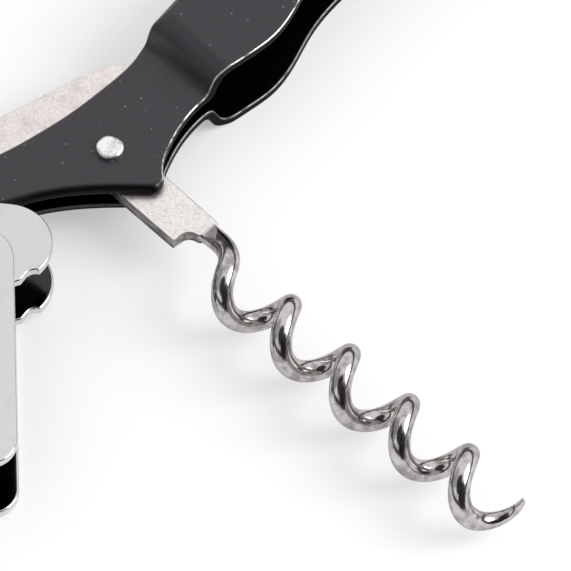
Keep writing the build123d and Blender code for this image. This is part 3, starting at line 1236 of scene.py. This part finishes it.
@dataclass
class KnifeBlade(Piece):
    """Foil knife with a round heel and a ground edge."""

    name: str = "knife_foil_blade"
    node: str = "knife_blade"
    body: Body = Body.KNIFE
    slot: Slot = Slot.BLADE
    pivot: Place = KNIFE_PIVOT
    heel: float = 4.0
    half: float = 0.6
    back_edge: float = 0.12
    grind: Span = (1.6, 0.5)
    back: tuple[Place, ...] = (
        (0.0, 4.0), (10.725, 2.88), (20.8, 1.0), (25.675, 0.0), (28.7625, -0.92),
        (30.875, -2.12), (32.5, -4.48),
    )
    edge: tuple[Place, ...] = ((32.5, -4.48), (28.275, -6.0), (20.15, -6.56), (10.4, -5.8), (3.575, -3.76))
    bands: tuple[Band, ...] = ((0.0, 6.0, 30), (6.0, 28.5, 60))
    tip_round: float = 4.0
    round_points: int = 24
    heel_points: int = 720
    curve_points: int = 1500

    def outline(self) -> Outline:
        """Side view about the pivot: the round heel, the back and the cutting edge.

        Returns:
            The outline, closed at the tip.
        """
        turn = np.linspace(0, np.pi / 2, self.round_points)
        tip_x, tip_y = self.back[-1]
        tip = tip_x - self.tip_round * (1 - np.sin(turn))
        x = joined(-self.heel * np.cos(turn), *(np.linspace(*band) for band in self.bands), tip)
        heel = self.heel * circle(np.linspace(0, 2 * np.pi, self.heel_points, endpoint=False))
        heel_top, heel_bottom = band_levels(heel, x)
        top = np.maximum(heel_top, level_at(natural_spline(self.back, self.curve_points), x, -np.inf))
        bottom = np.minimum(heel_bottom, level_at(natural_spline(self.edge, self.curve_points), x, np.inf))
        top[-1] = bottom[-1] = tip_y
        return Outline.over(x, top, bottom)

    def build(self) -> bpy.types.Object:
        """Builds the blade as one closed plate.

        Returns:
            The new piece.
        """
        outline = self.outline()
        height = np.full(len(outline.upper), self.half)
        back, edge = EdgeShape.rounded(self.back_edge), EdgeShape.ground(*self.grind)
        skin = Sheet(outline, height, -height, back, edge).plate()
        skin.points = [points + np.array([*self.pivot, 0.0]) for points in skin.points]
        return skin.piece(self.name)


# Shader maths


class Sock:
    """A shader socket that takes part in Python sums."""

    def __init__(self, graph: "Graph", socket: bpy.types.NodeSocket) -> None:
        """Keeps the socket and the graph that its sums are added to."""
        self.graph = graph
        self.socket = socket

    def _sum(self, operation: str, *values: "Value") -> "Sock":
        """Adds one Math node on these values."""
        return self.graph.node("ShaderNodeMath", {"operation": operation}, dict(enumerate(values)))

    def __add__(self, other: "Value") -> "Sock":
        """Sum."""
        return self._sum("ADD", self, other)

    def __radd__(self, other: "Value") -> "Sock":
        """Sum with a number on the left."""
        return self._sum("ADD", other, self)

    def __sub__(self, other: "Value") -> "Sock":
        """Difference."""
        return self._sum("SUBTRACT", self, other)

    def __rsub__(self, other: "Value") -> "Sock":
        """Difference from a number on the left."""
        return self._sum("SUBTRACT", other, self)

    def __mul__(self, other: "Value") -> "Sock":
        """Product."""
        return self._sum("MULTIPLY", self, other)

    def __rmul__(self, other: "Value") -> "Sock":
        """Product with a number on the left."""
        return self._sum("MULTIPLY", other, self)

    def over(self, low: float, high: float) -> "Sock":
        """Rises smoothly from 0 to 1 between two levels."""
        return self.graph.node(
            "ShaderNodeMapRange",
            {"interpolation_type": "SMOOTHSTEP", "clamp": True},
            {"Value": self, "From Min": low, "From Max": high},
        )


Value = Union[Sock, float, tuple[float, ...]]


@dataclass(frozen=True)
class Noise:
    """Cloudy pattern: its size, the levels it shows between and its stretch along the axes."""

    scale: float
    detail: float
    levels: Span = (0.0, 1.0)
    stretch: tuple[float, float, float] = (1.0, 1.0, 1.0)
    roughness: float = 0.6


@dataclass(frozen=True)
class Specks:
    """Scattered specks: scale of their cells, size in a cell and share of the cells."""

    scale: float
    size: float
    share: float
    blur: float = 0.01


class Graph:
    """Node tree of a finish or of the surround, with its shader."""

    def __init__(self, owner: Union[bpy.types.Material, bpy.types.World], shader: str) -> None:
        """Turns the owner's nodes on.

        Args:
            owner: The material or the surround.
            shader: Name of the shader that its nodes start with.
        """
        owner.use_nodes = True
        self.owner = owner
        self.tree = owner.node_tree
        self.shader = self.tree.nodes[shader]

    @classmethod
    def finish(cls, name: str) -> "Graph":
        """Graph of a new material."""
        return cls(bpy.data.materials.new(name), "Principled BSDF")

    def node(self, kind: str, settings: dict[str, object], inputs: dict, output: Union[str, int] = 0) -> Sock:
        """Adds a node.

        Args:
            kind: Type of the node.
            settings: Its own settings, set first.
            inputs: Values or links of its sockets, by name or number.
            output: The socket to return.

        Returns:
            The output, ready for sums.
        """
        made = self.tree.nodes.new(kind)
        for name, value in settings.items():
            setattr(made, name, value)
        for name, value in inputs.items():
            self.feed(made.inputs[name], value)
        return Sock(self, made.outputs[output])

    def feed(self, socket: bpy.types.NodeSocket, value: Value) -> None:
        """Links a socket, or sets its own value.

        Args:
            socket: The socket to feed.
            value: A socket to link it to, or a value.
        """
        if isinstance(value, Sock):
            self.tree.links.new(value.socket, socket)
        else:
            socket.default_value = value

    def set(self, **values: Value) -> None:
        """Feeds the shader's sockets, named with underscores for spaces."""
        for name, value in values.items():
            self.feed(self.shader.inputs[name.replace("_", " ").title().replace("Ior", "IOR")], value)

    @cached_property
    def place(self) -> Sock:
        """Place on the piece."""
        return self.node("ShaderNodeTexCoord", {}, {}, "Object")

    @cached_property
    def mark(self) -> Sock:
        """Value kept on the piece's points."""
        return self.node("ShaderNodeAttribute", {"attribute_name": "mark"}, {}, "Fac")

    def noise(self, noise: Noise) -> Sock:
        """Cloudy pattern on the piece.

        Args:
            noise: Its size and stretch.

        Returns:
            The pattern, at all its levels.
        """
        place = self.node("ShaderNodeMapping", {}, {"Vector": self.place, "Scale": noise.stretch})
        sizes = {"Scale": noise.scale, "Detail": noise.detail, "Roughness": noise.roughness}
        return self.node("ShaderNodeTexNoise", {}, {"Vector": place, **sizes}, "Fac")

    def cloud(self, noise: Noise) -> Sock:
        """Cloudy pattern that shows between its two levels."""
        return self.noise(noise).over(*noise.levels)

    def specks(self, specks: Specks) -> Sock:
        """Scattered specks: near a cell's centre, in a share of the cells.

        Args:
            specks: Their size and share.

        Returns:
            1 on the specks and 0 between them.
        """
        inputs = {"Vector": self.place, "Scale": specks.scale, "Randomness": 1.0}
        near = self.node("ShaderNodeTexVoronoi", {}, inputs, "Distance")
        colour = self.node("ShaderNodeTexVoronoi", {}, inputs, "Color")
        pick = self.node("ShaderNodeSeparateColor", {}, {0: colour}, "Red")
        least = 1 - specks.share
        picked = pick.over(least - specks.blur, least + specks.blur)
        return (1 - near.over(specks.size / 2, specks.size)) * picked

    def blend(self, share: Value, low: Value, high: Value) -> Sock:
        """Mix of two colours."""
        settings = {"data_type": "RGBA", "clamp_factor": True}
        return self.node("ShaderNodeMix", settings, {0: share, 6: low, 7: high}, 2)

    def bump(self, height: Sock, strength: float, distance: float) -> None:
        """Feeds a height to the shader's normal."""
        inputs = {"Height": height, "Strength": strength, "Distance": distance}
        self.set(normal=self.node("ShaderNodeBump", {}, inputs, "Normal"))

    def seen(self) -> Sock:
        """What is looked at, directly, mirrored or through glass, and not its light on the object.

        Returns:
            1 for these rays and 0 for others.
        """
        rays = ("Is Camera Ray", "Is Glossy Ray", "Is Transmission Ray")
        camera, glossy, clear = (self.node("ShaderNodeLightPath", {}, {}, ray) for ray in rays)
        return camera + glossy + clear


# Finishes


@dataclass(frozen=True)
class BlackCoating:
    """Satin black coating with fine grain, dust, faint scuffs, worn edges that also paint a highlight, and
    painted shade inside.
    """

    name: str
    colour: Colour = (0.0245, 0.0195, 0.0265, 1.0)
    scuff: Colour = (0.040, 0.034, 0.042, 1.0)
    dust: Colour = (0.17, 0.16, 0.175, 1.0)
    # Painted shade: colour of the inside faces, edge flats and rolled corners
    inside: Colour = (0.014, 0.0128, 0.0145, 1.0)
    # Worn edge lines: bare metal, brightened to paint their highlight
    worn: Colour = (0.74, 0.73, 0.74, 1.0)
    rim: Colour = (0.5, 0.5, 0.5, 1.0)
    gloss: float = 1.0
    roughness: float = 0.34
    relief: Span = (0.10, 0.00005)
    scuff_share: float = 0.5
    line_share: float = 0.5
    # Worn colour and metal on the edge lines, also painting their highlight
    worn_share: float = 0.9
    worn_and_highlight_metal: float = 0.7
    scuff_rough: float = 0.10
    grain_rough: float = 0.05
    dust_rough: float = 0.3
    dust_rise: float = 0.4
    wear_and_highlight_marks: Span = (0.08, 0.65)
    wear: Noise = Noise(700.0, 3.0, (0.32, 0.55))
    scuffs: Noise = Noise(160.0, 6.0, (0.56, 0.78), (1.0, 2.4, 1.0))
    lines: Noise = Noise(2400.0, 2.0, (0.66, 0.74), (0.1, 1.0, 1.0))
    grain: Noise = Noise(2600.0, 2.0)
    specks: Specks = Specks(1350.0, 0.20, 0.11)

    def material(self) -> bpy.types.Material:
        """Blends the coating in turn with its scuffs, dust, painted shade inside, and edge wear that also
        paints a highlight.

        Returns:
            The new material.
        """
        graph = Graph.finish(self.name)
        # Painted shade where the mark is below nought: insides, edge flats, rolled corners
        painted_shade = (0 - graph.mark).over(0.0, 1.0)
        # Worn edge lines; their brightness also paints a highlight
        worn = graph.mark.over(*self.wear_and_highlight_marks) * graph.cloud(self.wear)
        scuffs = graph.cloud(self.scuffs)
        lines = graph.cloud(self.lines)
        dust = graph.specks(self.specks) * (1 - painted_shade)
        rubbed = scuffs * self.scuff_share + lines * self.line_share
        colour = graph.blend(rubbed, self.colour, self.scuff)
        colour = graph.blend(dust, colour, self.dust)
        colour = graph.blend(painted_shade, colour, self.inside)
        graph.set(base_color=graph.blend(worn * self.worn_share, colour, self.worn))
        graph.set(metallic=painted_shade + worn * self.worn_and_highlight_metal)
        graph.set(specular_tint=self.rim, specular_ior_level=self.gloss)
        grain = graph.noise(self.grain)
        rough = self.roughness + self.scuff_rough * scuffs + self.grain_rough * grain
        graph.set(roughness=rough + self.dust_rough * dust)
        graph.bump(grain + self.dust_rise * dust, *self.relief)
        return graph.owner


@dataclass(frozen=True)
class NickelWire:
    """Bright nickel wire, satin and mottled where it is flattened."""

    name: str
    bright: Colour = (0.60, 0.57, 0.565, 1.0)
    dull: Colour = (0.26, 0.24, 0.238, 1.0)
    flat: Colour = (0.91, 0.855, 0.85, 1.0)
    pepper: Colour = (0.44, 0.41, 0.40, 1.0)
    cut: Colour = (0.20, 0.195, 0.195, 1.0)
    rim: Colour = (0.62, 0.60, 0.60, 1.0)
    roughness: float = 0.11
    relief: Span = (0.28, 0.00008)
    dull_share: float = 0.8
    pepper_share: float = 0.75
    tarnish_share: float = 0.10
    mottle_rough: float = 0.08
    flat_rough: float = 0.20
    sheared_rough: float = 0.15
    pit_rough: float = 0.2
    line_rise: float = 0.5
    mottle_rise: float = 0.8
    pit_depth: float = 0.6
    grain_rise: float = 0.4
    sheared_marks: Span = (1.05, 1.6)
    mottle: Noise = Noise(650.0, 4.0, (0.40, 0.68))
    tarnish: Span = (0.45, 0.75)
    lines: Noise = Noise(1500.0, 3.0, (0.40, 0.64), (1.0, 0.25, 1.0))
    grain: Noise = Noise(3600.0, 7.0, (0.42, 0.80))
    pits: Specks = Specks(1300.0, 0.10, 0.18)

    def material(self) -> bpy.types.Material:
        """Blends the round wire with the peppered flat and its sheared edge.

        Returns:
            The new material.
        """
        graph = Graph.finish(self.name)
        flat = graph.mark.over(0.0, 1.0)
        sheared = graph.mark.over(*self.sheared_marks)
        mottle, lines, grain = (graph.noise(noise) for noise in (self.mottle, self.lines, self.grain))
        wire = graph.blend(mottle.over(*self.mottle.levels) * self.dull_share, self.bright, self.dull)
        spots = grain.over(*self.grain.levels) * self.pepper_share
        spots = spots + mottle.over(*self.tarnish) * self.tarnish_share
        face = graph.blend(spots, self.flat, self.pepper)
        edge = graph.blend(lines.over(*self.lines.levels), self.cut, self.pepper)
        face = graph.blend(sheared, face, edge)
        graph.set(metallic=1.0, base_color=graph.blend(flat, wire, face), specular_tint=self.rim)
        pits = graph.specks(self.pits)
        rough = self.roughness + self.mottle_rough * mottle + flat * self.flat_rough
        graph.set(roughness=rough + sheared * self.sheared_rough + self.pit_rough * pits)
        rise = lines * self.line_rise + mottle * self.mottle_rise - pits * self.pit_depth
        graph.bump(rise + flat * grain * self.grain_rise, *self.relief)
        return graph.owner


@dataclass(frozen=True)
class BrightMetal:
    """Plated metal with hairline scratches, small dents, a hammered side and painted shade on its inside."""

    name: str
    colour: Colour
    worn: Colour
    roughness: float
    dents: float = 0.10
    dent_depth: float = 0.0001
    pepper: float = 0.25
    dark: Colour = (0.30, 0.28, 0.27, 1.0)
    # Painted shade for the inside of a folded link
    inside: Colour = (0.045, 0.045, 0.05, 1.0)
    painted_shade_marks: Span = (0.86, 1.0)
    patchy: float = 0.10
    worn_share: float = 0.7
    hammered_pepper: float = 0.70
    hammered_rough: float = 0.2
    hair_rough: float = 0.08
    pit_rough: float = 0.2
    hair_rise: float = 0.6
    pit_depth: float = 0.5
    wear: Noise = Noise(520.0, 5.0, (0.45, 0.75))
    hair: Noise = Noise(1400.0, 4.0)
    grain: Noise = Noise(1700.0, 7.0, (0.40, 0.80))
    pits: Specks = Specks(1200.0, 0.09, 0.15)

    def material(self) -> bpy.types.Material:
        """Blends the metal with its wear and pepper, and with painted shade on its inside.

        Returns:
            The new material.
        """
        graph = Graph.finish(self.name)
        wear = graph.cloud(self.wear)
        hair = graph.noise(self.hair)
        pits = graph.specks(self.pits)
        hammered = graph.mark.over(0.0, 1.0)
        pepper = graph.cloud(self.grain) * (self.pepper + self.hammered_pepper * hammered)
        colour = graph.blend(wear * self.worn_share, self.colour, self.worn)
        colour = graph.blend(pepper, colour, self.dark)
        # Painted shade on the inside faces
        painted_shade = (0 - graph.mark).over(*self.painted_shade_marks)
        graph.set(metallic=1.0, base_color=graph.blend(painted_shade, colour, self.inside))
        rough = self.roughness + self.patchy * wear + self.hair_rough * hair + self.pit_rough * pits
        graph.set(roughness=rough + self.hammered_rough * hammered)
        graph.bump(hair * self.hair_rise + wear - self.pit_depth * pits, self.dents, self.dent_depth)
        return graph.owner


FINISHES: dict[Slot, Union[BlackCoating, NickelWire, BrightMetal]] = {
    Slot.COATING: BlackCoating("black_coating"),
    Slot.WIRE: NickelWire("nickel_wire"),
    Slot.RIVET: BrightMetal(
        "bright_rivet",
        colour=(0.94, 0.93, 0.92, 1.0),
        worn=(0.76, 0.75, 0.74, 1.0),
        roughness=0.20,
        dents=0.60,
        pepper=0.22,
        grain=Noise(3200.0, 7.0, (0.40, 0.80)),
    ),
    Slot.LEVER: BrightMetal(
        "lever_chrome",
        colour=(0.68, 0.68, 0.69, 1.0),
        worn=(0.63, 0.63, 0.64, 1.0),
        roughness=0.08,
        dents=0.016,
        pepper=0.05,
        patchy=0.04,
    ),
    Slot.WASHER: BrightMetal(
        "washer_steel",
        colour=(0.56, 0.56, 0.55, 1.0),
        worn=(0.42, 0.41, 0.40, 1.0),
        roughness=0.30,
    ),
    Slot.BLADE: BrightMetal(
        "blade_steel",
        colour=(0.88, 0.815, 0.80, 1.0),
        worn=(0.66, 0.60, 0.575, 1.0),
        roughness=0.27,
        pepper=0.70,
        dark=(0.40, 0.34, 0.31, 1.0),
        hair=Noise(1400.0, 4.0, stretch=(0.08, 1.0, 1.0)),
        grain=Noise(4600.0, 7.0, (0.40, 0.80)),
    ),
}


# Studio


def facing(aim: Vector, way: Vector, distance: float) -> Matrix:
    """Place at a distance from an aim in one direction, turned to face it."""
    turn = way.to_track_quat("Z", "Y").to_matrix().to_4x4()
    return Matrix.Translation(aim + way * distance) @ turn


def stage_surface(name: str, points: Array, faces: list[list[int]], graph: Graph) -> bpy.types.Object:
    """Surface of the room, marked as part of the stage.

    Args:
        name: Name of the object.
        points: Its corners.
        faces: Corner numbers of each face.
        graph: Graph of its finish.

    Returns:
        The new object.
    """
    made = placed(name, new_mesh(name, points, faces))
    made.data.materials.append(graph.owner)
    return made


def mirrored_only(name: str, points: Array, faces: list[list[int]], shade: float) -> bpy.types.Object:
    """Matt grey surface of the room, seen only in polished metal.

    Args:
        name: Name of the object.
        points: Its corners.
        faces: Corner numbers of each face.
        shade: Its grey.

    Returns:
        The new object.
    """
    graph = Graph.finish(name)
    graph.set(base_color=(shade, shade, shade, 1.0), roughness=MATT)
    made = stage_surface(name, points, faces, graph)
    made.visible_camera = made.visible_diffuse = made.visible_shadow = False
    return made


@dataclass(frozen=True)
class Card:
    """Round card facing the object, its way given by weights on the camera's right, up and back."""

    name: str
    way: tuple[float, float, float]
    distance: float
    radius: float
    shade: float
    sides: int = 48

    def build(self, axes: tuple[Vector, Vector, Vector]) -> None:
        """Stands the card up.

        Args:
            axes: The camera's right, up and back.
        """
        way = sum((axis * weight for axis, weight in zip(axes, self.way)), Vector()).normalized()
        ring = self.radius * circle(np.linspace(0, 2 * np.pi, self.sides, endpoint=False))
        points = np.insert(ring, 2, 0.0, axis=1)
        made = mirrored_only(self.name, points, [list(range(self.sides))], self.shade)
        made.matrix_world = facing(AIM, way, self.distance)


@dataclass(frozen=True)
class RoomBand:
    """Dim room round the table: a band between two heights."""

    radius: float = 1.6
    heights: Span = (0.12, 0.52)
    shade: float = 0.05
    sides: int = 64

    def build(self) -> None:
        """Stands the band round the table, as quads between two circles."""
        ring = self.radius * circle(np.linspace(0, 2 * np.pi, self.sides, endpoint=False))
        points = np.vstack([np.insert(ring, 2, height, axis=1) for height in self.heights])
        step = np.arange(self.sides)
        ahead = (step + 1) % self.sides
        faces = np.stack([step, ahead, ahead + self.sides, step + self.sides], axis=1)
        mirrored_only("room_band", points, faces.tolist(), self.shade)


@dataclass(frozen=True)
class Studio:
    """White table, soft light from the right, and the camera."""

    azimuth: float = -44.0
    elevation: float = 55.0
    distance: float = 1.5
    field_mm: float = 68.8
    aim_right: float = 21.14
    aim_up: float = -15.0
    sensor_mm: float = 36.0
    sight_end: float = 20.0
    fill: float = 0.80
    key_way: tuple[float, float, float] = (0.50, -0.62, 0.60)
    key_watts: float = 3.6
    key_size: float = 0.5
    key_distance: float = 0.75
    table_drop: float = 0.00005
    table_size: float = 4.0
    table_colour: Colour = (0.93, 0.93, 0.935, 1.0)
    table_roughness: float = 0.55
    table_gloss: float = 0.25
    table_glow: float = 0.37
    band: RoomBand = RoomBand()
    cards: tuple[Card, ...] = (
        Card("dark_card", (0.47, -0.46, 0.74), 0.5, 0.29, 0.012),
        Card("grey_card", (-0.06, 0.02, 1.0), 0.6, 0.29, 0.03),
        Card("left_card", (-0.72, 0.36, 0.59), 0.6, 0.32, 0.45),
    )

    def axes(self) -> tuple[Vector, Vector, Vector]:
        """Camera's right, up and back directions.

        Returns:
            Three unit vectors.
        """
        az, el = np.radians(self.azimuth), np.radians(self.elevation)
        right = Vector((np.cos(az), np.sin(az), 0.0))
        back = Vector((np.sin(az) * np.cos(el), -np.cos(az) * np.cos(el), np.sin(el)))
        return right, back.cross(right), back

    def camera(self) -> None:
        """Long lens at the photograph's angle."""
        right, up, back = self.axes()
        aim = AIM + (right * self.aim_right + up * self.aim_up) * MM
        data = bpy.data.cameras.new("camera")
        data.sensor_width = self.sensor_mm
        data.lens = self.sensor_mm * self.distance / (self.field_mm * MM)
        data.clip_end = self.sight_end
        made = placed("camera", data)
        turn = Matrix((right, up, back)).transposed().to_4x4()
        made.matrix_world = Matrix.Translation(aim + back * self.distance) @ turn
        bpy.context.scene.camera = made

    def table(self) -> None:
        """White table top, lit up a little where it is looked at."""
        half, level = self.table_size / 2, -self.table_drop
        corners = [(-half, -half, level), (half, -half, level), (half, half, level), (-half, half, level)]
        graph = Graph.finish("table_white")
        graph.set(
            base_color=self.table_colour,
            roughness=self.table_roughness,
            specular_ior_level=self.table_gloss,
        )
        glow = graph.node("ShaderNodeEmission", {}, {"Color": WHITE}, "Emission")
        share = graph.seen() * self.table_glow
        surface = Sock(graph, graph.shader.outputs[0])
        mixed = graph.node("ShaderNodeMixShader", {}, {0: share, 1: surface, 2: glow})
        graph.feed(graph.tree.nodes["Material Output"].inputs["Surface"], mixed)
        stage_surface("table", np.array(corners), [[0, 1, 2, 3]], graph)

    def key(self) -> None:
        """Large soft lamp to the right of the picture."""
        light = bpy.data.lights.new("key", "AREA")
        light.shape = "DISK"
        light.size = self.key_size
        light.energy = self.key_watts
        placed("key", light).matrix_world = facing(AIM, Vector(self.key_way).normalized(), self.key_distance)

    def world(self) -> None:
        """White surround, a little weaker as light than it is to look at."""
        surround = bpy.data.worlds.new("surround")
        graph = Graph(surround, "Background")
        graph.set(color=WHITE, strength=self.fill + (1 - self.fill) * graph.seen())
        bpy.context.scene.world = surround

    def build(self) -> None:
        """Sets the whole stage."""
        bpy.context.scene.view_settings.view_transform = "Standard"
        self.world()
        self.table()
        self.key()
        self.band.build()
        for card in self.cards:
            card.build(self.axes())
        self.camera()


# Whole part


PIECES: tuple[Piece, ...] = (
    HandleChannel(),
    Worm(),
    KnifeBlade(),
    LeverLink(
        name="lever_hook_plates",
        node="lever_upper_link",
        body=Body.LEVER_UPPER,
        pivot=LEVER_PIVOT,
        angle=290.0,
        discs=((0.0, 0.0, 5.0), (10.5, 3.0, 5.8), (8.5, -1.5, 4.2)),
        notch=(16.3, -0.2, 1.5),
        web=(6.2, 13.0),
        half=4.65,
    ),
    LeverLink(
        name="lever_foot_channel",
        node="lever_lower_link",
        body=Body.LEVER_LOWER,
        pivot=(-24.5025, -2.0004),
        angle=225.0,
        discs=((0.0, 0.0, 5.0), (22.0, 0.0, 4.0), (26.0, 2.6, 3.6)),
        notch=(29.6, 0.8, 1.7),
        web=(7.0, 24.0),
        half=5.9,
    ),
    Rivet("worm_rivet_heads", "worm_rivet", (0.0, 0.0), shank=2.4, head=3.5, seat=2.3, height=0.9),
    Rivet("lever_rivet_heads", "lever_pivot_rivet", LEVER_PIVOT, shank=3.0, head=4.8, seat=4.65, height=0.75),
    Rivet("knife_rivet_heads", "knife_rivet", KNIFE_PIVOT, shank=2.4, head=4.0, seat=2.3, height=0.75),
)
KEPT_SOLIDS = (
    KeptSolid("lever_link_pin", Slot.RIVET),
    KeptSolid("lever_washer_front", Slot.WASHER),
    KeptSolid("lever_washer_back", Slot.WASHER),
    KeptSolid("knife_washer_front", Slot.WASHER),
    KeptSolid("knife_washer_back", Slot.WASHER),
)


def main() -> None:
    """Builds every piece in order and reports it."""
    logging.basicConfig(level=logging.INFO, format="%(name)s: %(message)s")
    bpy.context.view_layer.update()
    finishes = {slot: finish.material() for slot, finish in FINISHES.items()}
    Studio().build()
    for piece in PIECES:
        made = piece.build()
        piece.dress(made, finishes)
        LOG.info("%s on %s: %d faces", piece.name, piece.body.value, len(made.data.polygons))
    for solid in KEPT_SOLIDS:
        solid.dress(finishes)
        LOG.info("%s: solid kept", solid.node)


if __name__ == "__main__":
    main()
